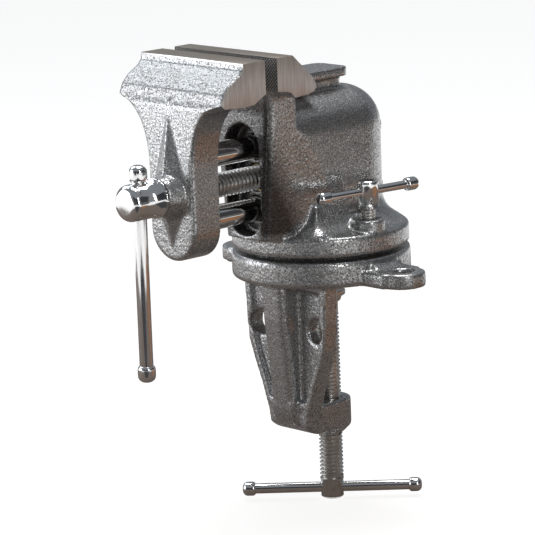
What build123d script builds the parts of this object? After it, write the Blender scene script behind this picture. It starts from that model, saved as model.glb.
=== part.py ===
"""Clamp-on swivel bench vise: every physical piece as its own solid.

Millimetres, +Z up, bench face at z = 0 on the swivel axis. -Y is the operator's side
(movable jaw and main handle), +X is the side that carries the swivel lock screw.
"""
from build123d import *
import os

os.makedirs("parts", exist_ok=True)

# ---- overall sizes ---------------------------------------------------------------
jaw_width = 76.2          # nominal 3 in jaws
jaw_top_z = 124.0
jaw_face_height = 17.3
fixed_face_y = -63.2
jaw_gap = 8.0             # opening the vise is drawn at
body_width = 50.0
body_front_y = -54.0
body_rear_centre_y = 11.5
body_top_z = 98.0
flare_front_y = -27.0
flare_steps = [(-0.8, 9.5), (1.0, 6.6), (3.2, 3.8), (6.2, 1.7), (9.6, 0.4), (13.0, -0.6)]

# ---- running fits (radial) -------------------------------------------------------
rod_clearance = 0.05
thread_clearance = 0.05
journal_clearance = 0.05
bar_clearance = 0.06
pivot_clearance = 0.05
part_gap = 0.3            # between bodies that pass each other

# ---- screws, rods and bars -------------------------------------------------------
main_screw_d = 12.7
main_axis_z = 56.8
guide_rod_d = 12.7
guide_rod_offset = 16.1
guide_rod_rear_y = 42.0
rod_socket_y = -100.5
rod_pin_y, rod_pin_d, rod_pin_reach = -96.5, 4.0, 9.5
main_screw_end_y = 21.0
head_front_y, head_r = -134.5, 9.4
handle_bar_d = 7.0
handle_y = -124.6
clamp_screw_d = 12.7
clamp_screw_y = 2.6
clamp_bar_d = 5.5
clamp_bar_z = -118.0
lock_screw_d = 8.0
lock_head_z = 38.5
lock_floor_z = 33.0
lock_x, lock_y = 37.5, -1.5
anvil_top_z, anvil_thickness = 108.2, 4.8
lock_bar_d = 4.4
lock_bar_z = 47.2
lock_bar_turn = 6.7       # degrees from +Y toward +X
pivot_d = 12.0

# ---- base and swivel -------------------------------------------------------------
base_r = 47.0
base_top_z = 14.0
seat_top_z = 15.7
swivel_bottom_z = 16.0
swivel_top_z = 28.0
swivel_r = 46.5
ear_x = 59.0
ear_r = 12.0
ear_hole_d = 10.4
arm_front_y = -28.0
arm_rear_y = -18.0
spine_foot_y, spine_foot_z = -32.5, -66.0
web_hole_x, web_hole_z, web_hole_r = 20.5, -25.5, 6.3
panel_outline = [(8, -4), (25.5, -4), (25, -20), (23.5, -34), (20, -45), (15.5, -56), (13, -64), (8, -64)]
hub_top_z = -68.0
hub_bottom_z = -83.0
hub_r = 11.3

half_jaw = jaw_width / 2
half_body = body_width / 2
moving_face_y = fixed_face_y - jaw_gap
face_bottom_z = jaw_top_z - jaw_face_height
leg_front_y = -103.5
leg_rear_y = -85.5
pocket_y = -91.5          # floor of the hollow in the back of the leg
boss_front_y = -113.0
collar_pin_y = pocket_y + part_gap + 3
upper_rod_z = main_axis_z + guide_rod_offset
lower_rod_z = main_axis_z - guide_rod_offset
rod_levels = (upper_rod_z, lower_rod_z)
collar_r = guide_rod_offset - guide_rod_d / 2 - 0.55   # passes between the rods
recess_depth = 9.0        # the front wall stands back between two flanges
front_wall_y = -31.0      # inner face of the body's front wall
nut_front_y, nut_rear_y = -43.0, -27.0
set_screw_y, set_screw_r = -37.0, 3.0
nut_half_x, nut_half_z = 13.0, 8.0


def plane_y(y, z=0.0, x=0.0):
    """Sketch plane facing +Y at (x, y, z); sketch x is -X, sketch y is +Z."""
    return Plane(origin=(x, y, z), x_dir=(-1, 0, 0), z_dir=(0, 1, 0))


# ---- clamp base: disc, ears, T-section arm and threaded hub ------------------------
with BuildPart() as clamp_base:
    with BuildSketch(Plane.XY):
        Circle(base_r)
    extrude(amount=base_top_z)
    fillet(clamp_base.edges().filter_by(GeomType.CIRCLE), radius=2.0)
    with BuildSketch(Plane.XY.offset(base_top_z - 1)):
        Circle(base_r - 6)
    extrude(amount=seat_top_z - base_top_z + 1)
    # bolting ears
    for side in (-1, 1):
        with BuildSketch(Plane.XY):
            with Locations((side * ear_x, 0)):
                Circle(ear_r)
            with Locations((side * (ear_x - 14), 0)):
                Rectangle(28, 2 * ear_r + 4)
        extrude(amount=8)
    # ramps from the disc down to the ears
    for side in (-1, 1):
        with BuildSketch(Plane.XZ.offset(ear_r - 3)):
            with BuildLine():
                Polyline((side * 36, 2), (side * 36, base_top_z - 0.5), (side * 45, base_top_z - 1.5),
                         (side * 51, 7.8), (side * 51, 2), close=True)
            make_face()
        extrude(amount=-2 * (ear_r - 3))
    # flat web of the arm
    web_outline = [(30, 2), (29.5, -20), (28, -35), (24.5, -45), (19.5, -57), (17, -65), (14.5, -72),
                   (14, hub_bottom_z)]
    with BuildSketch(plane_y(arm_front_y)):
        with BuildLine():
            Polyline(*web_outline, *[(-x, z) for x, z in reversed(web_outline)], close=True)
        make_face()
    extrude(amount=arm_rear_y - arm_front_y)
    # spine rib, rounded at the nose, drawn as a side profile
    with BuildSketch(Plane.YZ.offset(-8)):
        with BuildLine():
            Polyline((-20, 2), (-38.5, 2), (-37.5, -20), (spine_foot_y, spine_foot_z),
                     (spine_foot_y, hub_bottom_z), (-20, hub_bottom_z), close=True)
        make_face()
    extrude(amount=16)
    # foot that carries the hub
    with BuildSketch(Plane.XY.offset(hub_bottom_z)):
        with BuildLine():
            Polyline((-13.5, arm_front_y), (13.5, arm_front_y), (hub_r, clamp_screw_y),
                     (-hub_r, clamp_screw_y), close=True)
        make_face()
        with Locations((0, clamp_screw_y)):
            Circle(hub_r)
    extrude(amount=hub_top_z - hub_bottom_z)
    with BuildSketch(Plane.XY.offset(hub_bottom_z)):
        with Locations((0, clamp_screw_y)):
            Circle(hub_r)
    extrude(amount=-4.5, taper=45)
    # thick inside corner between web and foot
    inside_corner = clamp_base.edges().filter_by(Axis.X).filter_by(
        lambda e: abs(e.center().Y - arm_rear_y) < 0.1 and abs(e.center().Z - hub_top_z) < 0.1)
    fillet(inside_corner, radius=7.0)
    # round the foot from the spine under to the hub
    with BuildSketch(Plane.YZ.offset(-40)):
        with BuildLine():
            foot_r = spine_foot_z - hub_bottom_z
            Line((spine_foot_y, spine_foot_z), (spine_foot_y - 20, spine_foot_z))
            Line((spine_foot_y - 20, spine_foot_z), (spine_foot_y - 20, hub_bottom_z - 10))
            Line((spine_foot_y - 20, hub_bottom_z - 10), (spine_foot_y + foot_r, hub_bottom_z - 10))
            Line((spine_foot_y + foot_r, hub_bottom_z - 10), (spine_foot_y + foot_r, hub_bottom_z))
            RadiusArc((spine_foot_y + foot_r, hub_bottom_z), (spine_foot_y, spine_foot_z), foot_r)
        make_face()
    extrude(amount=80, mode=Mode.SUBTRACT)
    # dished panels between the spine and the thick rim
    for side in (-1, 1):
        with BuildSketch(plane_y(arm_front_y - 1)):
            with BuildLine():
                Polyline(*[(-side * x, z) for x, z in panel_outline], close=True)
            make_face()
        extrude(amount=4.0, mode=Mode.SUBTRACT)
    # nose of the spine and corners of the foot
    nose = clamp_base.edges().filter_by(lambda e: abs(abs(e.center().X) - 8) < 0.1
                                        and e.center().Y < -31 and e.length > 5
                                        and spine_foot_z < e.center().Z < -8)
    fillet(nose, radius=4.0)
    # lightening holes in the web
    for side in (-1, 1):
        with BuildSketch(plane_y(arm_front_y - 6, web_hole_z, side * web_hole_x)):
            Circle(web_hole_r)
        extrude(amount=30, mode=Mode.SUBTRACT)
    # ear holes
    for side in (-1, 1):
        with BuildSketch(Plane.XY):
            with Locations((side * ear_x, 0)):
                Circle(ear_hole_d / 2)
        extrude(amount=20, mode=Mode.SUBTRACT)
    # pivot bore and its counterbore from below
    with BuildSketch(Plane.XY):
        Circle(pivot_d / 2 + pivot_clearance)
    extrude(amount=20, mode=Mode.SUBTRACT)
    with BuildSketch(Plane.XY):
        Circle(13.0)
    extrude(amount=8.6, mode=Mode.SUBTRACT)
    # threaded bore of the hub
    with BuildSketch(Plane.XY.offset(hub_bottom_z - 6)):
        with Locations((0, clamp_screw_y)):
            Circle(clamp_screw_d / 2 + thread_clearance)
    extrude(amount=hub_top_z - hub_bottom_z + 12, mode=Mode.SUBTRACT)
clamp_base.part.label = "clamp_base"
export_step(clamp_base.part, "parts/clamp_base.step")

# ---- vise body: swivel disc, hollow body, anvil and fixed jaw ----------------------
with BuildPart() as vise_body:
    with BuildSketch(Plane.XY.offset(swivel_top_z - 2)):
        with Locations((0, (body_front_y + body_rear_centre_y) / 2)):
            Rectangle(body_width, body_rear_centre_y - body_front_y)
        with Locations((0, body_rear_centre_y)):
            Circle(half_body)
    extrude(amount=body_top_z - swivel_top_z + 2)
    crown = vise_body.edges().filter_by(lambda e: abs(e.center().Z - body_top_z) < 0.01
                                        and e.center().Y > body_front_y + 1)
    fillet(crown, radius=21.0)
    # neck that carries the fixed jaw
    with BuildSketch(Plane.YZ.offset(-half_body)):
        with BuildLine():
            Line((body_front_y, 84), (body_front_y, 92))
            ThreePointArc((body_front_y, 92), (-55.4, 99.5), (-59.0, 106.4))
            Polyline((-59.0, 106.4), (-40, 106), (-38, 97), (-38, 84), (body_front_y, 84))
        make_face()
    extrude(amount=body_width)
    # tapered cheeks toward the front
    for side in (-1, 1):
        with BuildSketch(Plane(origin=(side * 25, -31, 78.5), x_dir=(side * 0.21, 0.977, 0),
                               z_dir=(side * 0.97, -0.21, -0.10))):
            Rectangle(160, 200)
        extrude(amount=30, mode=Mode.SUBTRACT)
    # rounded front corners
    corners = vise_body.edges().filter_by(lambda e: e.center().Y < body_front_y + 0.6
                                          and e.length > 6 and abs(e.center().X) > 12)
    fillet(corners, radius=4.5)
    # swivel disc with a gently conical top
    with BuildSketch(Plane.XZ):
        with BuildLine():
            Polyline((0, swivel_bottom_z), (swivel_r - 1, swivel_bottom_z), (swivel_r, swivel_bottom_z + 1),
                     (swivel_r, 25.4), (swivel_r - 1.4, 26.6), (30, swivel_top_z + 0.6), (0, swivel_top_z + 0.6),
                     close=True)
        make_face()
    revolve(axis=Axis.Z)
    # concave flare from the body into the disc
    for height, spread in flare_steps:
        with BuildSketch(Plane.XY.offset(swivel_top_z + height)):
            with Locations((0, (flare_front_y + body_rear_centre_y) / 2)):
                Rectangle(body_width, body_rear_centre_y - flare_front_y)
            with Locations((0, body_rear_centre_y)):
                Circle(half_body)
            offset(amount=spread, kind=Kind.ARC)
    loft(ruled=True)
    # fixed jaw
    with BuildSketch(Plane.YZ.offset(-half_jaw)):
        with BuildLine():
            Polyline((fixed_face_y, jaw_top_z), (-52, jaw_top_z), (-44.8, 117.5), (-40, 113), (-37.3, 110.5),
                     (-36.1, 106.3), (-37.6, 103.7), (-42, 102.7), (-51.6, 102.1), (-53.7, 104.6),
                     (-57, 105.9), (fixed_face_y, face_bottom_z), close=True)
        make_face()
    extrude(amount=jaw_width)
    # small anvil on the crown
    with BuildSketch(Plane.XY.offset(94)):
        with Locations((0, -12)):
            RectangleRounded(18, 46, 4)
    extrude(amount=10)
    with BuildSketch(Plane.XY.offset(anvil_top_z - anvil_thickness)):
        with Locations((0, -11.2)):
            RectangleRounded(24, 50.4, 5.5)
    extrude(amount=anvil_thickness)
    # shallow recess where the screw and rods enter
    with BuildSketch(plane_y(body_front_y, main_axis_z)):
        SlotOverall(58, 25, rotation=90)
    extrude(amount=recess_depth, mode=Mode.SUBTRACT)
    # boss that the lock screw is tapped through
    with BuildSketch(Plane.XY.offset(swivel_top_z - 4)):
        with Locations((lock_x, lock_y)):
            Circle(8.6)
    extrude(amount=lock_floor_z - swivel_top_z + 4)
    # hollow core
    with BuildSketch(Plane.XY.offset(33.6)):
        with Locations((0, (front_wall_y + body_rear_centre_y) / 2)):
            Rectangle(36, body_rear_centre_y - front_wall_y)
        with Locations((0, body_rear_centre_y)):
            Circle(18)
    extrude(amount=86 - 33.6, mode=Mode.SUBTRACT)
    # openings below, each side of the pivot web
    with BuildSketch(Plane.XY.offset(swivel_bottom_z)):
        with Locations((0, -23.5)):
            Rectangle(30, 17)
        with Locations((0, 20)):
            Rectangle(30, 10)
    extrude(amount=20, mode=Mode.SUBTRACT)
    # guide bores through front and rear walls
    for level in rod_levels:
        with BuildSketch(plane_y(body_front_y - 6, level)):
            Circle(guide_rod_d / 2 + rod_clearance)
        extrude(amount=110, mode=Mode.SUBTRACT)
    # screw passage and nut pocket
    with BuildSketch(plane_y(body_front_y - 6, main_axis_z)):
        Circle(main_screw_d / 2 + 0.5)
    extrude(amount=nut_front_y - body_front_y + 7, mode=Mode.SUBTRACT)
    with BuildSketch(plane_y(nut_front_y, main_axis_z)):
        Rectangle(2 * nut_half_x, 2 * nut_half_z)
    extrude(amount=front_wall_y - nut_front_y + 1, mode=Mode.SUBTRACT)
    # set screw hole on the far cheek
    with BuildSketch(Plane.YZ.offset(-30)):
        with Locations((set_screw_y, main_axis_z)):
            Circle(set_screw_r)
    extrude(amount=20, mode=Mode.SUBTRACT)
    # tapped hole for the pivot bolt
    with BuildSketch(Plane.XY.offset(swivel_bottom_z - 1)):
        Circle(pivot_d / 2)
    extrude(amount=17, mode=Mode.SUBTRACT)
    # spot face and tapped hole of the swivel lock
    with BuildSketch(Plane.XY.offset(lock_floor_z)):
        with Locations((lock_x, lock_y)):
            Circle(12.0)
    extrude(amount=30, mode=Mode.SUBTRACT)
    with BuildSketch(Plane.XY.offset(swivel_bottom_z - 1)):
        with Locations((lock_x, lock_y)):
            Circle(lock_screw_d / 2 + thread_clearance)
    extrude(amount=20, mode=Mode.SUBTRACT)
vise_body.part.label = "vise_body"
export_step(vise_body.part, "parts/vise_body.step")

# ---- main nut and the set screw that holds it --------------------------------------
with BuildPart() as main_nut:
    with BuildSketch(plane_y(nut_front_y, main_axis_z)):
        Rectangle(2 * nut_half_x, 2 * nut_half_z)
        Circle(main_screw_d / 2 + thread_clearance, mode=Mode.SUBTRACT)
    extrude(amount=nut_rear_y - nut_front_y)
    with BuildSketch(Plane.YZ.offset(-20)):
        with Locations((set_screw_y, main_axis_z)):
            Circle(set_screw_r)
    extrude(amount=12, mode=Mode.SUBTRACT)
main_nut.part.label = "main_nut"
export_step(main_nut.part, "parts/main_nut.step")

with BuildPart() as nut_set_screw:
    with BuildSketch(Plane.YZ.offset(-20.5)):
        with Locations((set_screw_y, main_axis_z)):
            Circle(set_screw_r)
    extrude(amount=12.5)
    with BuildSketch(Plane.YZ.offset(-20.5)):
        with Locations((set_screw_y, main_axis_z)):
            RegularPolygon(1.6, 6)
    extrude(amount=3, mode=Mode.SUBTRACT)
nut_set_screw.part.label = "nut_set_screw"
export_step(nut_set_screw.part, "parts/nut_set_screw.step")

# ---- swivel pivot bolt and washer ---------------------------------------------------
with BuildPart() as swivel_pivot_bolt:
    with BuildSketch(Plane.XY.offset(1.0)):
        RegularPolygon(10.4, 6)
    extrude(amount=5.3)
    with BuildSketch(Plane.XY.offset(6.3)):
        Circle(pivot_d / 2)
    extrude(amount=32 - 6.3)
    chamfer(swivel_pivot_bolt.edges().sort_by(Axis.Z)[-1], length=1.0)
swivel_pivot_bolt.part.label = "swivel_pivot_bolt"
export_step(swivel_pivot_bolt.part, "parts/swivel_pivot_bolt.step")

with BuildPart() as swivel_pivot_washer:
    with BuildSketch(Plane.XY.offset(6.3)):
        Circle(12.2)
        Circle(pivot_d / 2, mode=Mode.SUBTRACT)
    extrude(amount=2.0)
swivel_pivot_washer.part.label = "swivel_pivot_washer"
export_step(swivel_pivot_washer.part, "parts/swivel_pivot_washer.step")

# ---- swivel lock: soft pad, screw, cross bar and two knobs ---------------------------
with BuildPart() as swivel_lock_pad:
    with BuildSketch(Plane.XY.offset(swivel_bottom_z)):
        with Locations((lock_x, lock_y)):
            Circle(lock_screw_d / 2 + thread_clearance)
    extrude(amount=2.6)
swivel_lock_pad.part.label = "swivel_lock_pad"
export_step(swivel_lock_pad.part, "parts/swivel_lock_pad.step")

lock_direction = Vector(0, 1, 0).rotate(Axis.Z, -lock_bar_turn)
lock_centre = Vector(lock_x, lock_y, lock_bar_z)
lock_bar_half = 27.0


def lock_plane(distance):
    """Plane across the lock bar, facing along it, this far from the screw axis."""
    return Plane(origin=lock_centre + lock_direction * distance, x_dir=(0, 0, 1), z_dir=lock_direction)


with BuildPart() as swivel_lock_screw:
    with BuildSketch(Plane.XY.offset(swivel_bottom_z + 2.9)):
        with Locations((lock_x, lock_y)):
            Circle(lock_screw_d / 2)
    extrude(amount=lock_head_z - swivel_bottom_z - 2.9)
    with BuildSketch(Plane.XY.offset(lock_head_z)):
        with Locations((lock_x, lock_y)):
            Circle(5.5)
    extrude(amount=14.5)
    fillet(swivel_lock_screw.edges().sort_by(Axis.Z)[-1], radius=1.6)
    chamfer(swivel_lock_screw.edges().sort_by(Axis.Z)[0], length=0.8)
    with BuildSketch(lock_plane(-10)):
        Circle(lock_bar_d / 2 + bar_clearance)
    extrude(amount=20, mode=Mode.SUBTRACT)
swivel_lock_screw.part.label = "swivel_lock_screw"
export_step(swivel_lock_screw.part, "parts/swivel_lock_screw.step")

with BuildPart() as swivel_lock_bar:
    with BuildSketch(lock_plane(-lock_bar_half - 2.5)):
        Circle(lock_bar_d / 2)
    extrude(amount=2 * lock_bar_half + 5)
swivel_lock_bar.part.label = "swivel_lock_bar"
export_step(swivel_lock_bar.part, "parts/swivel_lock_bar.step")

for end_name, end in (("front", -1), ("rear", 1)):
    with BuildPart() as lock_knob:
        with BuildSketch(lock_plane(end * (lock_bar_half - 2.4))):
            Circle(3.5)
        extrude(amount=end * 8.0)
        fillet(lock_knob.edges().filter_by(GeomType.CIRCLE), radius=1.6)
        with BuildSketch(lock_plane(0)):
            Circle(lock_bar_d / 2)
        extrude(amount=end * (lock_bar_half + 2.5), mode=Mode.SUBTRACT)
    lock_knob.part.label = "swivel_lock_knob_" + end_name
    export_step(lock_knob.part, "parts/swivel_lock_knob_" + end_name + ".step")

# ---- movable jaw -------------------------------------------------------------------
leg_half = 16.5
leg_foot_z = 39.3
shoulder = [(38.1, 104.5), (29.8, 101.3), (23.2, 94.9), (19.1, 86.7), (17.2, 79.0), (16.5, 71.0)]
with BuildPart() as movable_jaw:
    # leg with its rounded foot and concave shoulders
    with BuildSketch(plane_y(leg_front_y)):
        with BuildLine():
            Line((-half_jaw, 110), (half_jaw, 110))
            Line((half_jaw, 110), shoulder[0])
            Spline(*shoulder)
            Line(shoulder[-1], (leg_half, leg_foot_z))
            ThreePointArc((leg_half, leg_foot_z), (0, leg_foot_z - leg_half), (-leg_half, leg_foot_z))
            Line((-leg_half, leg_foot_z), (-shoulder[-1][0], shoulder[-1][1]))
            Spline(*[(-x, z) for x, z in reversed(shoulder)])
            Line((-shoulder[0][0], shoulder[0][1]), (-half_jaw, 110))
        make_face()
    extrude(amount=leg_rear_y - leg_front_y)
    front_rim = movable_jaw.edges().filter_by(lambda e: abs(e.center().Y - leg_front_y) < 0.01
                                              and e.center().Z < 100)
    fillet(front_rim, radius=2.0)
    # trim the shoulders back to the jaw's sloping front
    with BuildSketch(Plane.YZ.offset(-60)):
        with BuildLine():
            Polyline((-112, 100), (-103.9, 100), (-103.5, 102), (-102.0, 104.8), (-99.8, 110), (-99.8, 130),
                     (-112, 130), close=True)
        make_face()
    extrude(amount=120, mode=Mode.SUBTRACT)
    with BuildSketch(Plane.YZ.offset(-half_jaw)):
        with BuildLine():
            Polyline((moving_face_y, jaw_top_z), (-86.2, jaw_top_z), (-86.6, 120.5), (-89.3, 118),
                     (-95.8, 114.2), (-99.8, 110), (-102.0, 104.8), (-99.5, 102.6), (-86, 101.8), (-79, 102.4),
                     (-75.7, 104.4), (moving_face_y, face_bottom_z), close=True)
        make_face()
    extrude(amount=jaw_width)
    # long raised diamond on the front of the leg
    with BuildSketch(plane_y(leg_front_y + 1)):
        with BuildLine():
            Polyline((0, 106), (15.5, 58), (0, 26), (-15.5, 58), close=True)
        make_face()
    with BuildSketch(plane_y(leg_front_y - 6.0)):
        with BuildLine():
            Polyline((0, 62), (1, 58), (0, 54), (-1, 58), close=True)
        make_face()
    loft(ruled=True)
    # conical boss around the screw
    with BuildSketch(plane_y(leg_front_y + 1, main_axis_z)):
        Circle(13.0)
    with BuildSketch(plane_y(boss_front_y, main_axis_z)):
        Circle(9.6)
    loft()
    # hollow in the back of the leg
    with BuildSketch(plane_y(pocket_y, main_axis_z)):
        SlotOverall(54, 22, rotation=90)
    extrude(amount=leg_rear_y - pocket_y + 1, mode=Mode.SUBTRACT)
    # screw journal and blind rod sockets
    with BuildSketch(plane_y(boss_front_y - 1, main_axis_z)):
        Circle(main_screw_d / 2 + journal_clearance)
    extrude(amount=40, mode=Mode.SUBTRACT)
    for level in rod_levels:
        with BuildSketch(plane_y(rod_socket_y, level)):
            Circle(guide_rod_d / 2)
        extrude(amount=40, mode=Mode.SUBTRACT)
        with BuildSketch(Plane.YZ.offset(-leg_half - 1)):
            with Locations((rod_pin_y, level)):
                Circle(rod_pin_d / 2)
        extrude(amount=leg_half + 1 + rod_pin_reach, mode=Mode.SUBTRACT)
movable_jaw.part.label = "movable_jaw"
export_step(movable_jaw.part, "parts/movable_jaw.step")

# ---- guide rods and their cross pins ------------------------------------------------
for rod_name, level in (("upper", upper_rod_z), ("lower", lower_rod_z)):
    with BuildPart() as guide_rod:
        with BuildSketch(plane_y(rod_socket_y, level)):
            Circle(guide_rod_d / 2)
        extrude(amount=guide_rod_rear_y - rod_socket_y)
        chamfer(guide_rod.edges().sort_by(Axis.Y)[-1], length=1.2)
        with BuildSketch(Plane.YZ.offset(-20)):
            with Locations((rod_pin_y, level)):
                Circle(rod_pin_d / 2)
        extrude(amount=20 + rod_pin_reach, mode=Mode.SUBTRACT)
    guide_rod.part.label = "guide_rod_" + rod_name
    export_step(guide_rod.part, "parts/guide_rod_" + rod_name + ".step")
    with BuildPart() as rod_pin:
        with BuildSketch(Plane.YZ.offset(-leg_half + 0.5)):
            with Locations((rod_pin_y, level)):
                Circle(rod_pin_d / 2)
        extrude(amount=leg_half - 0.5 + rod_pin_reach)
    rod_pin.part.label = "guide_rod_pin_" + rod_name
    export_step(rod_pin.part, "parts/guide_rod_pin_" + rod_name + ".step")

# ---- main screw, retaining collar and pin -------------------------------------------
with BuildPart() as main_screw:
    with BuildSketch(plane_y(head_front_y, main_axis_z)):
        Circle(head_r)
    extrude(amount=boss_front_y - part_gap - head_front_y)
    fillet(main_screw.edges().sort_by(Axis.Y)[0], radius=4.0)
    with BuildSketch(plane_y(boss_front_y - part_gap, main_axis_z)):
        Circle(10.2)
    extrude(amount=-2.4)
    with BuildSketch(plane_y(boss_front_y - 1, main_axis_z)):
        Circle(main_screw_d / 2)
    extrude(amount=main_screw_end_y - boss_front_y + 1)
    chamfer(main_screw.edges().sort_by(Axis.Y)[-1], length=1.2)
    with BuildSketch(Plane.XY.offset(main_axis_z - 14)):
        with Locations((0, handle_y)):
            Circle(handle_bar_d / 2 + bar_clearance)
    extrude(amount=28, mode=Mode.SUBTRACT)
    with BuildSketch(Plane.YZ.offset(-12)):
        with Locations((collar_pin_y, main_axis_z)):
            Circle(1.5)
    extrude(amount=24, mode=Mode.SUBTRACT)
main_screw.part.label = "main_screw"
export_step(main_screw.part, "parts/main_screw.step")

with BuildPart() as screw_retaining_collar:
    with BuildSketch(plane_y(pocket_y + part_gap, main_axis_z)):
        Circle(collar_r)
        Circle(main_screw_d / 2, mode=Mode.SUBTRACT)
    extrude(amount=6.0)
    with BuildSketch(Plane.YZ.offset(-12)):
        with Locations((collar_pin_y, main_axis_z)):
            Circle(1.5)
    extrude(amount=24, mode=Mode.SUBTRACT)
screw_retaining_collar.part.label = "screw_retaining_collar"
export_step(screw_retaining_collar.part, "parts/screw_retaining_collar.step")

with BuildPart() as retaining_collar_pin:
    with BuildSketch(Plane.YZ.offset(-collar_r + 0.4)):
        with Locations((collar_pin_y, main_axis_z)):
            Circle(1.5)
    extrude(amount=2 * collar_r - 0.8)
retaining_collar_pin.part.label = "retaining_collar_pin"
export_step(retaining_collar_pin.part, "parts/retaining_collar_pin.step")

# ---- main handle: bar and two knobs -------------------------------------------------
handle_low_z, handle_high_z = -35.5, 75.2
with BuildPart() as main_handle_bar:
    with BuildSketch(Plane.XY.offset(handle_low_z + 3)):
        with Locations((0, handle_y)):
            Circle(handle_bar_d / 2)
    extrude(amount=handle_high_z - handle_low_z - 6)
main_handle_bar.part.label = "main_handle_bar"
export_step(main_handle_bar.part, "parts/main_handle_bar.step")

for end_name, start, rise in (("lower", handle_low_z, 9.0), ("upper", handle_high_z - 8.6, 8.6)):
    with BuildPart() as handle_knob:
        with BuildSketch(Plane.XY.offset(start)):
            with Locations((0, handle_y)):
                Circle(4.6)
        extrude(amount=rise)
        fillet(handle_knob.edges().filter_by(GeomType.CIRCLE), radius=2.2)
        with BuildSketch(Plane.XY.offset(handle_low_z + 3)):
            with Locations((0, handle_y)):
                Circle(handle_bar_d / 2)
        extrude(amount=handle_high_z - handle_low_z - 6, mode=Mode.SUBTRACT)
    handle_knob.part.label = "main_handle_knob_" + end_name
    export_step(handle_knob.part, "parts/main_handle_knob_" + end_name + ".step")

# ---- pressure pad and its retaining ring --------------------------------------------
pad_top_z, pad_bottom_z = -10.0, -16.0
pad_r = 10.2
neck_r = 4.0
with BuildPart() as pressure_pad:
    with BuildSketch(Plane.XZ):
        with BuildLine():
            Polyline((0, pad_top_z), (pad_r, pad_top_z), (pad_r, pad_top_z - 2.2), (8.4, pad_top_z - 3.4),
                     (7.6, pad_bottom_z), (0, pad_bottom_z), close=True)
        make_face()
    revolve(axis=Axis.Z)
    with BuildSketch(Plane.XY.offset(pad_bottom_z)):
        Circle(neck_r + journal_clearance)
    extrude(amount=3.6, mode=Mode.SUBTRACT)
    with BuildSketch(Plane.XY.offset(pad_bottom_z)):
        Circle(5.6)
    extrude(amount=1.2, mode=Mode.SUBTRACT)
pressure_pad.part.label = "pressure_pad"
pad_placed = pressure_pad.part.moved(Location((0, clamp_screw_y, 0)))
pad_placed.label = "pressure_pad"
export_step(pad_placed, "parts/pressure_pad.step")

with BuildPart() as pad_retaining_ring:
    with BuildSketch(Plane.XY.offset(pad_bottom_z)):
        with Locations((0, clamp_screw_y)):
            Circle(5.6)
            Circle(3.5, mode=Mode.SUBTRACT)
    extrude(amount=1.2)
pad_retaining_ring.part.label = "pad_retaining_ring"
export_step(pad_retaining_ring.part, "parts/pad_retaining_ring.step")

# ---- clamp screw --------------------------------------------------------------------
with BuildPart() as clamp_screw:
    with BuildSketch(Plane.XZ.offset(-clamp_screw_y)):
        with BuildLine():
            Polyline((0, pad_bottom_z + 3.2), (neck_r, pad_bottom_z + 3.2), (neck_r, pad_bottom_z + 1.5),
                     (3.2, pad_bottom_z + 1.5), (3.2, pad_bottom_z - 0.3), (6.1, pad_bottom_z - 0.3),
                     (6.1, -32), (clamp_screw_d / 2, -32.4), (clamp_screw_d / 2, -113), (6.0, -113.4),
                     (6.0, -122.5), (5.0, -123.5), (0, -123.5), close=True)
        make_face()
    revolve(axis=Axis((0, clamp_screw_y, 0), (0, 0, 1)))
    with BuildSketch(Plane(origin=(-7, clamp_screw_y - 7, clamp_bar_z), x_dir=(0, 0, 1), z_dir=(1, 1, 0))):
        Circle(clamp_bar_d / 2 + bar_clearance)
    extrude(amount=20, mode=Mode.SUBTRACT)
clamp_screw.part.label = "clamp_screw"
export_step(clamp_screw.part, "parts/clamp_screw.step")

# ---- clamp bar and knobs --------------------------------------------------------------
bar_direction = Vector(1, 1, 0).normalized()
bar_centre = Vector(0, clamp_screw_y, clamp_bar_z)
clamp_bar_half = 47.8


def clamp_plane(distance):
    """Plane across the clamp bar, facing along it, this far from the screw axis."""
    return Plane(origin=bar_centre + bar_direction * distance, x_dir=(0, 0, 1), z_dir=bar_direction)


with BuildPart() as clamp_bar:
    with BuildSketch(clamp_plane(-clamp_bar_half + 2)):
        Circle(clamp_bar_d / 2)
    extrude(amount=2 * clamp_bar_half - 4)
clamp_bar.part.label = "clamp_bar"
export_step(clamp_bar.part, "parts/clamp_bar.step")

for end_name, end in (("left", -1), ("right", 1)):
    with BuildPart() as clamp_knob:
        with BuildSketch(clamp_plane(end * (clamp_bar_half - 7))):
            Circle(3.8)
        extrude(amount=end * 7.0)
        fillet(clamp_knob.edges().filter_by(GeomType.CIRCLE), radius=1.7)
        with BuildSketch(clamp_plane(0)):
            Circle(clamp_bar_d / 2)
        extrude(amount=end * (clamp_bar_half - 2), mode=Mode.SUBTRACT)
    clamp_knob.part.label = "clamp_bar_knob_" + end_name
    export_step(clamp_knob.part, "parts/clamp_bar_knob_" + end_name + ".step")
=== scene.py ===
import math

import bmesh
import bpy
from mathutils import Matrix, Vector


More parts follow.
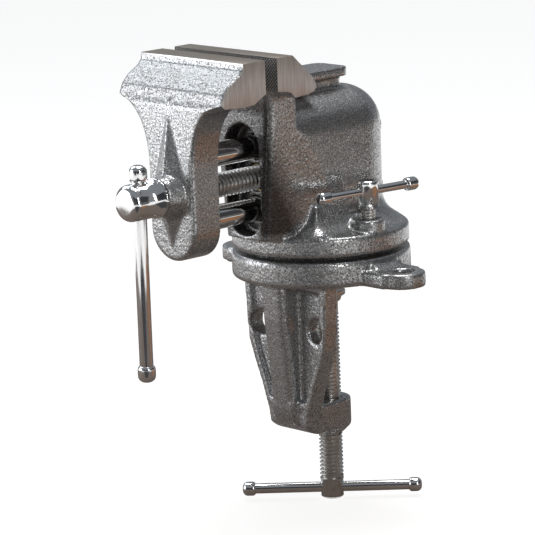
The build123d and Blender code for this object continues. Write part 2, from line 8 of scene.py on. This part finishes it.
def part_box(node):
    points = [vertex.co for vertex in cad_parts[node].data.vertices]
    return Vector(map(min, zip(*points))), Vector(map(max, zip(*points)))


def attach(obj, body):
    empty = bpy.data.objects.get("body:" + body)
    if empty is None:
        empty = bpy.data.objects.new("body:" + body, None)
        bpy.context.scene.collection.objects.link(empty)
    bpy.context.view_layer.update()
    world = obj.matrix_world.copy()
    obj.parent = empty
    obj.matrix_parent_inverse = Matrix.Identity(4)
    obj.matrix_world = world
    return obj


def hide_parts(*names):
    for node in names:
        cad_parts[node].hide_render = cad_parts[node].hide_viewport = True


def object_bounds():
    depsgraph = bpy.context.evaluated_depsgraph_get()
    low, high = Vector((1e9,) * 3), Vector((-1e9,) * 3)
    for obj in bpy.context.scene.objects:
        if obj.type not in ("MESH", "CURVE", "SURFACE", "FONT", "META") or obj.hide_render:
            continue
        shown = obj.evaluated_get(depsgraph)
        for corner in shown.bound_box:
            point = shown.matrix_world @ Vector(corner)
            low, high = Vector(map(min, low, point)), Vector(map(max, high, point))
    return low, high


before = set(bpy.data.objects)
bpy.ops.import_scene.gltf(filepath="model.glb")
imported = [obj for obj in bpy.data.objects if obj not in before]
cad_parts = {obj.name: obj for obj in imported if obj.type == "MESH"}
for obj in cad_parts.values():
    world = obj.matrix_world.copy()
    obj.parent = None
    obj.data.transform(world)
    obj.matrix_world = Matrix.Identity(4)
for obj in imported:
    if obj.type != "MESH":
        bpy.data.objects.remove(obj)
cad_box = [[float(x) for x in corner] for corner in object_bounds()]
mm = 0.001

# ---- hammertone enamel ---------------------------------------------------------------
# Silver-grey enamel sprayed over rough sand castings. It dries into fine dimples, so the
# gloss breaks up into specks, with darker pits where the sand showed through.


class Wire:
    """A shader socket that can be added, multiplied and so on like a number."""

    def __init__(self, paint, socket):
        self.paint, self.socket = paint, socket

    def _math(self, operation, a, b):
        return self.paint.node("ShaderNodeMath", {"operation": operation}, {0: a, 1: b})

    def __add__(self, other):
        return self._math("ADD", self, other)

    __radd__ = __add__

    def __mul__(self, other):
        return self._math("MULTIPLY", self, other)

    __rmul__ = __mul__

    def __sub__(self, other):
        return self._math("SUBTRACT", self, other)

    def __rsub__(self, other):
        return self._math("SUBTRACT", other, self)

    def __truediv__(self, other):
        return self._math("DIVIDE", self, other)

    def ramp(self, low, high):
        """0 below low, 1 above high, straight between."""
        return self.paint.node("ShaderNodeMapRange", {"clamp": True},
                               {"Value": self, "From Min": low, "From Max": high})


class Paint:
    """A material whose nodes are made by one method, with a Principled shader at its end."""

    def __init__(self, name, **shader):
        self.material = bpy.data.materials.new(name)
        self.material.use_nodes = True
        self.nodes = self.material.node_tree.nodes
        self.shader = self.nodes["Principled BSDF"]
        self.set(**shader)
        self.place = self.node("ShaderNodeTexCoord", {}, {}, "Object")

    def node(self, kind, settings, inputs, output=0):
        made = self.nodes.new(kind)
        for key, value in settings.items():
            if key == "stops":
                ramp = made.color_ramp
                while len(ramp.elements) < len(value):
                    ramp.elements.new(0.5)
                for element, (at, colour) in zip(ramp.elements, value):
                    element.position, element.color = at, (*colour, 1)
            else:
                setattr(made, key, value)
        for key, value in inputs.items():
            self.join(made.inputs[key], value)
        return Wire(self, made.outputs[output])

    def join(self, socket, value):
        if isinstance(value, Wire):
            self.material.node_tree.links.new(value.socket, socket)
        elif isinstance(value, tuple) and len(value) == 3 and len(socket.default_value) == 4:
            socket.default_value = (*value, 1)
        else:
            socket.default_value = value

    def set(self, **inputs):
        for key, value in inputs.items():
            self.join(self.shader.inputs[key.replace("_", " ")], value)

    def noise(self, per_metre, detail=2.0, roughness=0.5, at=None):
        inputs = {"Vector": at or self.place, "Scale": per_metre, "Detail": detail, "Roughness": roughness}
        return self.node("ShaderNodeTexNoise", {}, inputs, "Fac")

    def stretched(self, scale):
        """Object coordinates scaled per axis, for grain that runs one way."""
        return self.node("ShaderNodeVectorMath", {"operation": "MULTIPLY"}, {0: self.place, 1: scale})

    def mix(self, share, a, b):
        return self.node("ShaderNodeMix", {"data_type": "RGBA"}, {0: share, 6: a, 7: b}, 2)

    def bump(self, height, depth, strength=1.0):
        return self.node("ShaderNodeBump", {}, {"Height": height, "Distance": depth, "Strength": strength})

    def axis(self, index):
        """One of the object coordinates, in metres."""
        return self.node("ShaderNodeSeparateXYZ", {}, {0: self.place}, index)


def hammertone(name, shaded_well=False):
    paint = Paint(name, Metallic=0.92, Coat_Roughness=0.08)
    cells = paint.node("ShaderNodeTexVoronoi", {"feature": "SMOOTH_F1"},
                       {"Vector": paint.place, "Scale": 720.0}, "Distance")
    mottle = paint.noise(1150.0, 3.0, 0.6)
    lumps = paint.noise(300.0, 2.0, 0.5)
    pits = (mottle * 0.65 + paint.noise(1700.0, 2.0) * 0.35).ramp(0.39, 0.47)
    shade = paint.noise(70.0, 3.0, 0.6).ramp(0.30, 0.70)
    # Painted glints: near-white flecks in the colour stand for the sparkle of light off the dimpled paint.
    glint_flecks = paint.noise(1500.0, 2.0, 0.6).ramp(0.54, 0.66)
    silver = paint.mix(mottle.ramp(0.38, 0.62), (0.30, 0.305, 0.31), (0.50, 0.50, 0.50))
    worn = paint.mix(shade * 0.4, silver, (0.33, 0.31, 0.29))
    glint_flecked = paint.mix(glint_flecks * 0.55, worn, (0.86, 0.86, 0.86))
    skin = paint.mix(pits, (0.15, 0.14, 0.13), glint_flecked)
    if shaded_well:      # painted shade: the well around the rods and screw is painted near black, where the leg keeps the light out
        across, along, rise = paint.axis(0), paint.axis(1), paint.axis(2)
        well = (1 - (across * across).ramp(0.00034, 0.00046)) * (1 - along.ramp(-0.022, -0.018))
        well = well * along.ramp(-0.0560, -0.0535) * rise.ramp(0.026, 0.030) * (1 - rise.ramp(0.098, 0.102))
        skin = paint.mix(well * 0.9, skin, (0.035, 0.030, 0.028))
    paint.set(Base_Color=skin)
    paint.set(Roughness=0.34 - mottle * 0.12 + (1 - pits) * 0.15)
    paint.set(Coat_Weight=pits * 0.4)
    height = pits * 0.22 + (1 - cells) * 0.38 + lumps * 0.75
    paint.set(Normal=paint.bump(height, 0.00028, 1.0))
    return paint.material


enamel = hammertone("hammertone_enamel")
# This copy paints shade into the well at the body's front.
well_shaded_enamel = hammertone("hammertone_enamel_well_shade", True)

# ---- clamp base ------------------------------------------------------------------------
# One iron casting: the disc that sits on the bench, its bolting ears, the T-section arm
# and the threaded hub. Its edges are soft from the mould.


def finished(name, work, material, body, angle=35.0):
    """Turns a bmesh into a shaded piece that rides a body."""
    mesh = bpy.data.meshes.new(name)
    work.to_mesh(mesh)
    work.free()
    piece = bpy.data.objects.new(name, mesh)
    bpy.context.collection.objects.link(piece)
    for one in material if isinstance(material, (list, tuple)) else [material]:
        mesh.materials.append(one)
    mesh.shade_smooth()
    mesh.set_sharp_from_angle(angle=math.radians(angle))
    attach(piece, body)
    return piece


def copy_of(node, merge=1e-6):
    """A merged copy of a CAD node's mesh to work on."""
    work = bmesh.new()
    work.from_mesh(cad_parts[node].data)
    bmesh.ops.remove_doubles(work, verts=work.verts, dist=merge)
    return work


def cast_skin(piece, grain, rounds):
    """Remeshes a casting evenly and softens its edges as a sand mould does."""
    skin = piece.modifiers.new("skin", "REMESH")
    skin.mode = "VOXEL"
    skin.voxel_size = grain
    skin.use_smooth_shade = True
    soft = piece.modifiers.new("soft", "SMOOTH")
    soft.factor = 0.5
    soft.iterations = rounds


base = finished("base_casting", copy_of("clamp_base"), enamel, "clamp_base")
cast_skin(base, 0.9 * mm, 8)
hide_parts("clamp_base")

# ---- vise body ---------------------------------------------------------------------------
# The hollow swivel body with its disc, anvil and fixed jaw. The machined sides of the jaw are
# skimmed back by the thickness of the crisp jaw block that is laid over them.


def box(low, high):
    work = bmesh.new()
    bmesh.ops.create_cube(work, size=1.0)
    size, middle = [h - l for l, h in zip(low, high)], [(h + l) / 2 for l, h in zip(low, high)]
    bmesh.ops.scale(work, vec=size, verts=work.verts)
    bmesh.ops.translate(work, vec=middle, verts=work.verts)
    return work


def carve(piece, low, high):
    """Cuts a box away from a piece for good."""
    mesh = bpy.data.meshes.new("cutter")
    work = box(low, high)
    work.to_mesh(mesh)
    work.free()
    cutter = bpy.data.objects.new("cutter", mesh)
    bpy.context.collection.objects.link(cutter)
    cut = piece.modifiers.new("cut", "BOOLEAN")
    cut.object, cut.operation, cut.solver = cutter, "DIFFERENCE", "EXACT"
    bpy.context.view_layer.update()
    kept = bpy.data.meshes.new_from_object(piece.evaluated_get(bpy.context.evaluated_depsgraph_get()))
    piece.modifiers.remove(cut)
    old, piece.data = piece.data, kept
    bpy.data.meshes.remove(old)
    bpy.data.objects.remove(cutter)
    bpy.data.meshes.remove(mesh)


jaw_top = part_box("vise_body")[1][2]
half_jaw = 38.1 * mm
fixed_face, moving_face = -63.2 * mm, -71.2 * mm
# The body's enamel has painted shade in the well around the rods and screw.
body = finished("body_casting", copy_of("vise_body"), well_shaded_enamel, "vise_body")
skim = 0.4 * mm
jaw_low = jaw_top - 22.5 * mm
carve(body, (-0.05, -0.08, jaw_top - skim), (0.05, -0.03, jaw_top + 0.01))
carve(body, (-0.05, -0.08, jaw_low), (0.05, fixed_face + skim, jaw_top + 0.01))
carve(body, (-0.05, -0.08, jaw_low), (-half_jaw + skim, -0.03, jaw_top + 0.01))
carve(body, (half_jaw - skim, -0.08, jaw_low), (0.05, -0.03, jaw_top + 0.01))
cast_skin(body, 0.9 * mm, 4)
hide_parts("vise_body")

# ---- jaw blocks --------------------------------------------------------------------------
# Both jaws are part of their castings, but milled bright on the ends, the top and the
# gripping faces, which are cut with a fine cross-hatch. The backs keep the cast enamel.


def milled_end():
    paint = Paint("milled_jaw_end", Metallic=0.4)
    grain = paint.noise(1.0, 3.0, 0.6, paint.stretched((900.0, 1700.0, 60.0))).ramp(0.30, 0.70)
    stain = paint.noise(55.0, 3.0, 0.6)
    # Painted reflection: the colour turns brown towards the top of the end face, over a real random stain.
    rise = paint.axis(2).ramp(0.114, 0.124)
    pale = paint.mix(grain, (0.50, 0.43, 0.39), (0.84, 0.78, 0.74))
    paint.set(Base_Color=paint.mix(stain * 0.25 + rise * 0.45, pale, (0.30, 0.23, 0.18)))
    paint.set(Roughness=0.30 + grain * 0.2)
    paint.set(Normal=paint.bump(grain, 0.00006, 0.6))
    return paint.material


def milled_top():
    paint = Paint("milled_jaw_top", Metallic=0.85)
    lines = paint.noise(1.0, 2.0, 0.5, paint.stretched((40.0, 2600.0, 40.0)))
    stain = paint.noise(60.0, 3.0, 0.6)
    brown = paint.mix(stain, (0.13, 0.105, 0.085), (0.24, 0.21, 0.18))
    paint.set(Base_Color=paint.mix(lines * 0.6, brown, (0.34, 0.31, 0.28)))
    paint.set(Roughness=0.42 + lines * 0.15)
    paint.set(Normal=paint.bump(lines, 0.00008, 0.6))
    return paint.material


def hatched_face():
    paint = Paint("hatched_jaw_face", Metallic=0.9)
    across, rise = paint.axis(0), paint.axis(2)
    pitch = 1100.0
    one = paint.node("ShaderNodeMath", {"operation": "PINGPONG"}, {0: (across + rise) * pitch, 1: 1.0})
    two = paint.node("ShaderNodeMath", {"operation": "PINGPONG"}, {0: (across - rise) * pitch, 1: 1.0})
    teeth = one * two
    paint.set(Base_Color=paint.mix(teeth, (0.10, 0.09, 0.085), (0.50, 0.48, 0.46)), Roughness=0.38)
    paint.set(Normal=paint.bump(teeth, 0.0004, 1.0))
    return paint.material


def bright_edge():
    paint = Paint("bright_milled_edge", Metallic=0.95)
    scratch = paint.noise(1.0, 2.0, 0.5, paint.stretched((60.0, 1500.0, 1500.0)))
    paint.set(Base_Color=paint.mix(scratch, (0.62, 0.60, 0.58), (0.92, 0.91, 0.90)))
    paint.set(Roughness=0.22 + scratch * 0.12)
    return paint.material


jaw_finishes = [enamel, milled_end(), milled_top(), hatched_face(), bright_edge()]
CAST, END, TOP, HATCH, BRIGHT = range(5)


def jaw_block(name, outline, finishes, body_name):
    """Extrudes a jaw's side outline across its width; finishes names the skin of each side."""
    work = bmesh.new()
    ring = [work.verts.new((-half_jaw, y * mm, z * mm)) for y, z in outline]
    near = work.faces.new(ring)
    sides = {}
    made = bmesh.ops.extrude_face_region(work, geom=[near])
    far = [v for v in made["geom"] if isinstance(v, bmesh.types.BMVert)]
    bmesh.ops.translate(work, vec=(2 * half_jaw, 0, 0), verts=far)
    bmesh.ops.recalc_face_normals(work, faces=work.faces)
    for face in work.faces:
        if abs(face.normal.x) > 0.9:
            face.material_index = END
        else:
            middle = face.calc_center_median()
            for index, (y, z) in enumerate(outline):
                ny, nz = outline[(index + 1) % len(outline)]
                if abs(middle.y / mm - (y + ny) / 2) < 0.05 and abs(middle.z / mm - (z + nz) / 2) < 0.05:
                    face.material_index = finishes.get(index, CAST)
    rims = [e for e in work.edges if any(abs(f.normal.x) > 0.9 for f in e.link_faces)]
    crests = [e for e in work.edges
              if abs(e.calc_length() - 2 * half_jaw) < 1e-5 and e.calc_face_angle() > 0.6]
    bmesh.ops.bevel(work, geom=rims + crests, offset=0.45 * mm, offset_type="OFFSET", segments=2,
                    profile=0.5, affect="EDGES", material=-1, clamp_overlap=True)
    return finished(name, work, jaw_finishes, body_name, 25.0)


# Both outlines are (y, z) in millimetres, from the foot of the gripping face up and round.
fixed_outline = [
    (-63.2, 106.9), (-63.2, 124), (-52.1, 124), (-44.9, 117.3), (-40.1, 112.8), (-37.5, 110.4),
    (-36.3, 106.3), (-37.8, 103.9), (-42, 102.9), (-51.5, 102.3), (-53.6, 104.8), (-57, 106.1),
]
moving_outline = [
    (-71.2, 106.9), (-71.2, 124), (-86.1, 124), (-86.4, 120.6), (-89.1, 117.8), (-95.6, 114.0),
    (-99.6, 110), (-101.8, 104.9), (-99.4, 102.8), (-86, 102.0), (-79, 102.6), (-75.8, 104.6),
]
fixed_jaw = jaw_block("fixed_jaw", fixed_outline, {0: HATCH, 1: TOP, 2: CAST}, "vise_body")
moving_jaw = jaw_block("moving_jaw", moving_outline, {0: HATCH, 1: TOP, 2: BRIGHT}, "movable_jaw")

# ---- movable jaw leg ------------------------------------------------------------------------
# The front casting: shoulders that run down into a long leg with a raised diamond and the
# boss that carries the screw.
leg = finished("jaw_leg_casting", copy_of("movable_jaw"), enamel, "movable_jaw")
carve(leg, (-0.05, -0.12, jaw_top - skim), (0.05, -0.06, jaw_top + 0.01))
face_height = 17.4 * mm
carve(leg, (-0.05, moving_face - skim, jaw_top - face_height), (0.05, -0.06, jaw_top + 0.01))
carve(leg, (-0.05, -0.12, jaw_low), (-half_jaw + skim, -0.06, jaw_top + 0.01))
carve(leg, (half_jaw - skim, -0.12, jaw_low), (0.05, -0.06, jaw_top + 0.01))
cast_skin(leg, 0.65 * mm, 4)
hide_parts("movable_jaw")

# ---- guide rods ----------------------------------------------------------------------------
# Two ground and plated rods are pinned in the movable jaw and slide through the body, above
# and below the screw.


def plated():
    paint = Paint("bright_plate", Metallic=1.0)
    haze = paint.noise(140.0, 3.0, 0.6)
    paint.set(Base_Color=paint.mix(haze, (0.78, 0.77, 0.76), (0.90, 0.90, 0.90)))
    paint.set(Roughness=0.06 + haze * 0.07)
    paint.set(Normal=paint.bump(paint.noise(60.0), 0.00003, 0.3))
    return paint.material


chrome = plated()
steps = 64


def turned(name, profile, start, direction, material, body_name):
    """A round piece: profile is (radius, distance along the axis) in millimetres from start."""
    work = bmesh.new()
    along = Vector(direction).normalized()
    side = along.orthogonal().normalized()
    start = Vector(start)
    line = [work.verts.new(start + along * (t * mm) + side * (r * mm)) for r, t in profile]
    edges = [work.edges.new(pair) for pair in zip(line, line[1:])]
    bmesh.ops.spin(work, geom=line + edges, cent=start, axis=along, angle=2 * math.pi, steps=steps,
                   use_merge=True)
    bmesh.ops.remove_doubles(work, verts=work.verts, dist=1e-6)
    bmesh.ops.recalc_face_normals(work, faces=work.faces)
    return finished(name, work, material, body_name)


def rounded(radius, start, end, nose, tail):
    """Outline of a bar from start to end with rounded ends of the two given radii."""
    arc = [i * math.pi / 12 for i in range(7)]
    first = [(radius - nose + nose * math.sin(a), start + nose - nose * math.cos(a)) for a in arc]
    last = [(radius - tail + tail * math.cos(a), end - tail + tail * math.sin(a)) for a in arc]
    return [(0, start)] + first + last + [(0, end)]


for level in ("upper", "lower"):
    low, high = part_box("guide_rod_" + level)
    middle_z = (low[2] + high[2]) / 2
    radius = (high[2] - low[2]) / 2 / mm
    length = (high[1] - low[1]) / mm
    rod = turned("guide_rod_" + level + "_bright", rounded(radius, 0, length, 0.5, 1.2),
                 (0, low[1], middle_z), (0, 1, 0), chrome, "movable_jaw")
    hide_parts("guide_rod_" + level)

# ---- screws ----------------------------------------------------------------------------------
# Turned steel screws with rolled right-hand threads; the heads are cross-drilled for bars.


def turned_steel():
    paint = Paint("turned_steel", Metallic=1.0)
    rings = paint.noise(1.0, 2.0, 0.5, paint.stretched((300.0, 300.0, 2200.0)))
    grime = paint.noise(160.0, 3.0, 0.6).ramp(0.40, 0.70)
    bright = paint.mix(rings, (0.62, 0.61, 0.59), (0.86, 0.85, 0.83))
    paint.set(Base_Color=paint.mix(grime * 0.45, bright, (0.24, 0.21, 0.18)))
    paint.set(Roughness=0.24 + grime * 0.16)
    return paint.material


steel = turned_steel()


def thread(name, start, direction, length, radius, pitch, depth, body_name):
    """A right-hand screw thread: one tooth of the profile carried round and along by a spin."""
    work = bmesh.new()
    along = Vector(direction).normalized()
    side = along.orthogonal().normalized()
    start = Vector(start)
    root = radius - depth
    tooth = [(root, 0.0), (root, 0.10), (radius, 0.46), (radius, 0.54), (root, 0.90), (root, 1.0)]
    line = [work.verts.new(start + along * (t * pitch * mm) + side * (r * mm)) for r, t in tooth]
    edges = [work.edges.new(pair) for pair in zip(line, line[1:])]
    turns = int(length / pitch) - 1
    per_turn = 36
    bmesh.ops.spin(work, geom=line + edges, cent=start, axis=along, angle=2 * math.pi * turns,
                   steps=per_turn * turns, dvec=along * (pitch * mm / per_turn))
    bmesh.ops.remove_doubles(work, verts=work.verts, dist=2e-6)
    bmesh.ops.holes_fill(work, edges=[e for e in work.edges if e.is_boundary])
    bmesh.ops.recalc_face_normals(work, faces=work.faces)
    return finished(name, work, steel, body_name, 50.0)


def kept_part(name, node, cuts, material, body_name):
    """Keeps the stretch of a CAD node between cutting planes (point, outward normal)."""
    work = copy_of(node)
    for point, normal in cuts:
        whole = work.verts[:] + work.edges[:] + work.faces[:]
        cut = bmesh.ops.bisect_plane(work, geom=whole, plane_co=point, plane_no=normal, clear_outer=True)
        rim = [e for e in cut["geom_cut"] if isinstance(e, bmesh.types.BMEdge)]
        bmesh.ops.holes_fill(work, edges=rim)
    return finished(name, work, material, body_name)


low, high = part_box("main_screw")
axis_z = (low[2] + high[2]) / 2
screw_end = high[1] / mm
thread_r = 6.35
collar_end = -85.0        # where the plain neck stops and the thread starts
head = kept_part("main_screw_head", "main_screw", [((0, collar_end * mm, 0), (0, 1, 0))], chrome,
                 "main_screw")
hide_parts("main_screw")
turned("main_screw_core", rounded(5.3, collar_end - 1, screw_end - 0.2, 0.3, 0.8), (0, 0, axis_z), (0, 1, 0),
       steel, "main_screw")
thread_start = collar_end + 0.2
thread("main_screw_thread", (0, thread_start * mm, axis_z), (0, 1, 0), screw_end - thread_start, thread_r,
       2.54, 1.35, "main_screw")

low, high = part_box("clamp_screw")
clamp_y = (low[1] + high[1]) / 2
shank_low, foot_high = -22.5, -112.5      # the thread runs between the neck and the cross-drilled foot
top = kept_part("clamp_screw_shank", "clamp_screw", [((0, 0, shank_low * mm), (0, 0, -1))], steel,
                "clamp_screw")
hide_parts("clamp_screw")
kept_part("clamp_screw_foot", "clamp_screw", [((0, 0, foot_high * mm), (0, 0, 1))], steel,
          "clamp_screw")
turned("clamp_screw_core", rounded(5.35, foot_high - 0.5, shank_low + 0.5, 0.1, 0.1), (0, clamp_y, 0),
       (0, 0, 1), steel, "clamp_screw")
thread("clamp_screw_thread", (0, clamp_y, foot_high * mm), (0, 0, 1), 92.0, thread_r, 2.1, 1.1, "clamp_screw")

low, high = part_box("swivel_lock_screw")
lock_x, lock_y = (low[0] + high[0]) / 2, (low[1] + high[1]) / 2
cap_low, tip_high = 38.3, 19.0            # under the head, and just above the pad on the tip
cap = kept_part("lock_screw_head", "swivel_lock_screw", [((0, 0, cap_low * mm), (0, 0, -1))], chrome,
                "swivel_lock")
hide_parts("swivel_lock_screw")
turned("lock_screw_core", rounded(3.3, tip_high, cap_low + 0.7, 0.3, 0.1), (lock_x, lock_y, 0), (0, 0, 1),
       steel, "swivel_lock")
thread("lock_screw_thread", (lock_x, lock_y, (tip_high + 0.2) * mm), (0, 0, 1), 21.0, 4.0, 1.5, 0.75,
       "swivel_lock")

# ---- bars and knobs -----------------------------------------------------------------------------
# Plated bars slide in the cross holes of the three screws. Knobs pressed on their ends keep
# them in.


def span(node_names):
    boxes = [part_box(name) for name in node_names]
    low = Vector([min(b[0][i] for b in boxes) for i in range(3)])
    high = Vector([max(b[1][i] for b in boxes) for i in range(3)])
    return low, high


def knob_profile(radius, bar, length):
    """Outline of a knob: flat where the bar enters, then a barrel with a well-rounded end."""
    edge, nose = 0.45 * radius, 0.75 * radius
    arc = [i * math.pi / 16 for i in range(9)]
    inner = [(radius - edge + edge * math.sin(a), edge - edge * math.cos(a)) for a in arc]
    outer = [(radius - nose + nose * math.cos(a), length - nose + nose * math.sin(a)) for a in arc]
    return [(0, 0), (bar, 0)] + inner + outer + [(0, length)]


def bar_with_knobs(stem, bar_node, knob_nodes, ends, bar_r, knob_r, knob_l, body_name):
    """One bar from ends[0] to ends[1], with a knob on each end."""
    first, last = Vector(ends[0]), Vector(ends[1])
    along = (last - first).normalized()
    length = (last - first).length / mm
    bar = turned(stem + "_bright_bar", rounded(bar_r, 2, length - 2, 0.2, 0.2), first, along, chrome,
                 body_name)
    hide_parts(bar_node)
    for name, point, way in ((knob_nodes[0], first, along), (knob_nodes[1], last, -along)):
        knob = turned(name + "_bright", knob_profile(knob_r, bar_r, knob_l), point + way * knob_l * mm, -way,
                      chrome, body_name)
        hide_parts(name)


low, high = span(["main_handle_bar", "main_handle_knob_lower", "main_handle_knob_upper"])
handle_y = (low[1] + high[1]) / 2
bar_with_knobs("handle", "main_handle_bar", ("main_handle_knob_lower", "main_handle_knob_upper"),
               ((0, handle_y, low[2]), (0, handle_y, high[2])), 3.5, 4.6, 8.8, "main_handle")
low, high = span(["clamp_bar", "clamp_bar_knob_left", "clamp_bar_knob_right"])
middle = (low + high) / 2
clamp_bar_half, lock_bar_half = 47.8 * mm, 32.6 * mm
reach = Vector((1, 1, 0)).normalized() * clamp_bar_half
bar_with_knobs("clamp", "clamp_bar", ("clamp_bar_knob_left", "clamp_bar_knob_right"),
               (middle - reach, middle + reach), 2.75, 3.8, 7.0, "clamp_bar")
low, high = span(["swivel_lock_bar", "swivel_lock_knob_front", "swivel_lock_knob_rear"])
middle = (low + high) / 2
turn = math.radians(6.7)      # the lock's bar stands a little off the vise's long axis
reach = Vector((math.sin(turn), math.cos(turn), 0)) * lock_bar_half
bar_with_knobs("lock", "swivel_lock_bar", ("swivel_lock_knob_front", "swivel_lock_knob_rear"),
               (middle - reach, middle + reach), 2.2, 3.5, 8.0, "swivel_lock_bar")

# ---- pressure pad ----------------------------------------------------------------------------
# A turned steel pad on the tip of the clamp screw, free to swivel, that presses on the
# underside of the bench.
low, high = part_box("pressure_pad")
outline = [
    (0, -12.4), (4.05, -12.4), (4.05, -14.8), (5.6, -14.8), (5.6, -16), (7.3, -16), (7.65, -15.5),
    (8.3, -13.5), (9.9, -12.7), (10.2, -12.2), (10.2, -10.5), (9.7, -10), (0, -10),
]
pad = turned("pressure_pad_turned", outline, (0, clamp_y, 0), (0, 0, 1), steel, "pressure_pad")
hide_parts("pressure_pad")

# ---- inner fittings ----------------------------------------------------------------------------
# Nut, pivot bolt, washer, collar and pins keep their CAD shape with a finish of their own.


def plain_metal(name, dark, light, rough):
    paint = Paint(name, Metallic=0.95)
    wear = paint.noise(240.0, 3.0, 0.6)
    paint.set(Base_Color=paint.mix(wear, dark, light), Roughness=rough + wear * 0.15)
    paint.set(Normal=paint.bump(wear, 0.00005, 0.4))
    return paint.material


oiled = plain_metal("oiled_steel", (0.12, 0.115, 0.11), (0.34, 0.33, 0.32), 0.3)
bronze = plain_metal("cast_bronze", (0.30, 0.19, 0.08), (0.60, 0.43, 0.22), 0.3)
brass = plain_metal("turned_brass", (0.50, 0.36, 0.14), (0.80, 0.64, 0.34), 0.25)
fittings = {
    "main_nut": bronze, "swivel_lock_pad": brass, "nut_set_screw": oiled, "swivel_pivot_bolt": oiled,
    "swivel_pivot_washer": oiled, "guide_rod_pin_upper": oiled, "guide_rod_pin_lower": oiled,
    "screw_retaining_collar": oiled, "retaining_collar_pin": oiled, "pad_retaining_ring": oiled,
}
for name, material in fittings.items():
    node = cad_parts[name]
    node.data.materials.clear()
    node.data.materials.append(material)

# ---- floor, light and camera -----------------------------------------------------------------
# A pale floor just under the lowest knob, a soft white room, and dark cards for the plating
# to reflect.


def matt(name, colour, glow=0.0, glow_colour=(0, 0, 0)):
    paint = Paint(name, Roughness=0.9, Base_Color=colour)
    paint.set(Emission_Color=glow_colour, Emission_Strength=glow)
    return paint.material


def card(name, centre, facing, width, height, material):
    work = bmesh.new()
    bmesh.ops.create_grid(work, x_segments=1, y_segments=1, size=0.5)
    bmesh.ops.scale(work, vec=(width, height, 1), verts=work.verts)
    turn = Vector(facing).to_track_quat("Z", "Y").to_matrix().to_4x4()
    bmesh.ops.transform(work, matrix=Matrix.Translation(centre) @ turn, verts=work.verts)
    mesh = bpy.data.meshes.new(name)
    work.to_mesh(mesh)
    work.free()
    mesh.materials.append(material)
    piece = bpy.data.objects.new(name, mesh)
    bpy.context.collection.objects.link(piece)
    return piece


floor_z = cad_box[0][2] - 0.0005
pale = matt("pale_floor", (0.22, 0.22, 0.22), 0.86, (1, 1, 1))
card("floor", (0, 0, floor_z), (0, 0, 1), 12, 12, pale)
brown = matt("brown_card", (0.10, 0.05, 0.025), 0.9, (0.20, 0.095, 0.045))
dark = matt("dark_card", (0.03, 0.03, 0.035))
shade = matt("shade_card", (0.06, 0.05, 0.045), 0.8, (0.105, 0.078, 0.062))
slate = matt("slate_card", (0.05, 0.05, 0.05), 0.8, (0.075, 0.072, 0.07))
cards = (
    ("card_floor_near", (-0.05, -0.05, floor_z + 0.0015), (0, 0, 1), 1.25, 1.25, shade),
    ("card_floor_right", (0.42, 0.34, floor_z + 0.002), (0, 0, 1), 0.5, 0.5, brown),
    ("card_slate", (0.75, 0.62, 0.02), (-0.75, -0.62, 0), 1.3, 0.26, slate),
    ("card_dark", (0.75, 0.62, 0.42), (-0.75, -0.62, -0.3), 1.3, 0.55, dark),
    ("card_floor_front", (0.40, -0.52, floor_z + 0.002), (0, 0, 1), 0.55, 0.55, dark),
    ("card_front", (0.36, -1.45, 0.20), (-0.36, 1.45, -0.2), 0.7, 1.1, dark),
    ("card_behind_camera", (1.55, -1.45, 0.40), (-1.0, 1.0, -0.2), 1.3, 1.3, dark),
)
for name, centre, facing, width, height, material in cards:
    side = card(name, centre, facing, width, height, material)
    side.visible_camera = False
    side.visible_shadow = False

world = bpy.data.worlds.new("studio")
world.use_nodes = True
sky = world.node_tree
seen = sky.nodes.new("ShaderNodeBackground")
seen.inputs[0].default_value, seen.inputs[1].default_value = (1, 1, 1, 1), 1.0
sky.nodes["Background"].inputs[0].default_value = (0.85, 0.92, 1.0, 1)
sky.nodes["Background"].inputs[1].default_value = 0.25
path = sky.nodes.new("ShaderNodeLightPath")
either = sky.nodes.new("ShaderNodeMixShader")
sky.links.new(path.outputs["Is Camera Ray"], either.inputs[0])
sky.links.new(sky.nodes["Background"].outputs[0], either.inputs[1])
sky.links.new(seen.outputs[0], either.inputs[2])
sky.links.new(either.outputs[0], sky.nodes["World Output"].inputs[0])
bpy.context.scene.world = world


def soft_light(name, place, wide, tall, power, colour=(1, 1, 1)):
    lamp = bpy.data.lights.new(name, "AREA")
    lamp.shape, lamp.size, lamp.size_y = "RECTANGLE", wide, tall
    lamp.energy, lamp.color = power, colour
    holder = bpy.data.objects.new(name, lamp)
    holder.location = place
    holder.rotation_euler = (-Vector(place)).to_track_quat("-Z", "Y").to_euler()
    bpy.context.collection.objects.link(holder)


soft_light("front_window", (-0.9, -1.0, 0.25), 1.0, 0.9, 7.5, (0.93, 0.96, 1.0))
soft_light("left_high", (-0.95, -0.12, 0.95), 0.8, 0.8, 4.0, (0.90, 0.95, 1.0))
soft_light("overhead", (-0.1, 0.2, 1.3), 0.7, 0.7, 14)
soft_light("edge", (1.3, -0.5, 0.5), 0.12, 0.9, 3.5)
bpy.context.scene.view_settings.view_transform = "Standard"

camera_place = Vector((1194.1, -1160.0, 355.0)) * mm
right = Vector((0.6895, 0.7234, -0.0358)).normalized()
up = Vector((-0.1257, 0.1682, 0.9777)).normalized()
back = right.cross(up).normalized()
up = back.cross(right).normalized()
lens = bpy.data.cameras.new("camera")
lens.sensor_width = 36.0
lens.lens = 217.9
lens.clip_end = 50
camera = bpy.data.objects.new("camera", lens)
camera.matrix_world = Matrix((
    (right.x, up.x, back.x, camera_place.x), (right.y, up.y, back.y, camera_place.y),
    (right.z, up.z, back.z, camera_place.z), (0, 0, 0, 1)))
bpy.context.collection.objects.link(camera)
bpy.context.scene.camera = camera

bpy.context.view_layer.update()
